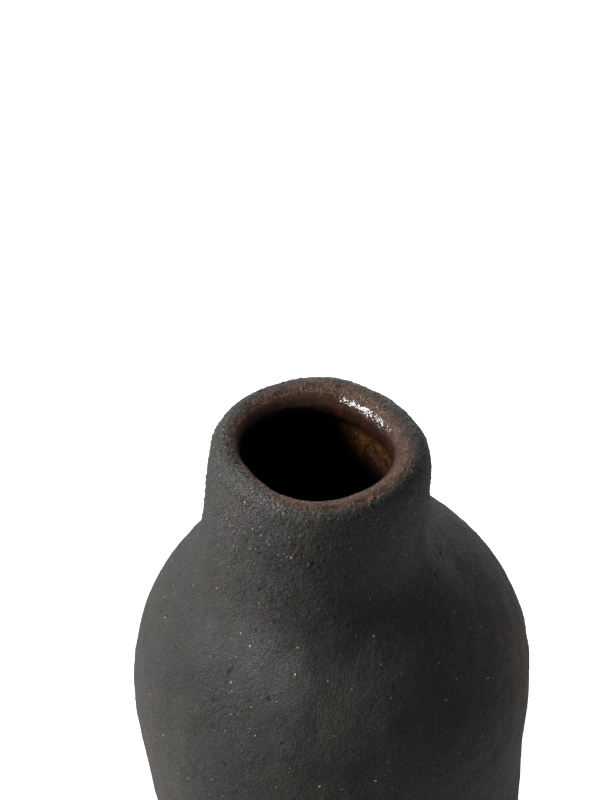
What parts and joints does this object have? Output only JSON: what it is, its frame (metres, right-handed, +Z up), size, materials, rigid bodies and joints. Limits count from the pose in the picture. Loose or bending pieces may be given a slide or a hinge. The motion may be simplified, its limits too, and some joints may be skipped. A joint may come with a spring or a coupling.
{
  "type": "stoneware vase",
  "caption": "Hand-built dark stoneware vase with a rounded body, a high shoulder, a short narrow neck, an uneven rolled lip and a glossy amber-black glaze inside.",
  "frame": {"origin": "centre of the flat foot, on the surface the vase stands on", "axes": "+Z up through the mouth; +Y away from the side seen as the front; the neck leans a few millimetres towards -X"},
  "size_m": [0.116, 0.116, 0.242],
  "materials": {
    "dark_stoneware": "matte",
    "liner_glaze": "gloss",
    "lip_glaze": "satin"
  },
  "bodies": {
    "root": {"base_slab": "dark_stoneware", "corner_coil": "dark_stoneware", "lower_wall": "dark_stoneware", "upper_wall": "dark_stoneware", "shoulder": "dark_stoneware", "neck_collar": "dark_stoneware", "lip_coil": "dark_stoneware", "glaze_lining": "liner_glaze", "lip_glaze_band": "lip_glaze"}
  },
  "joints": []
}
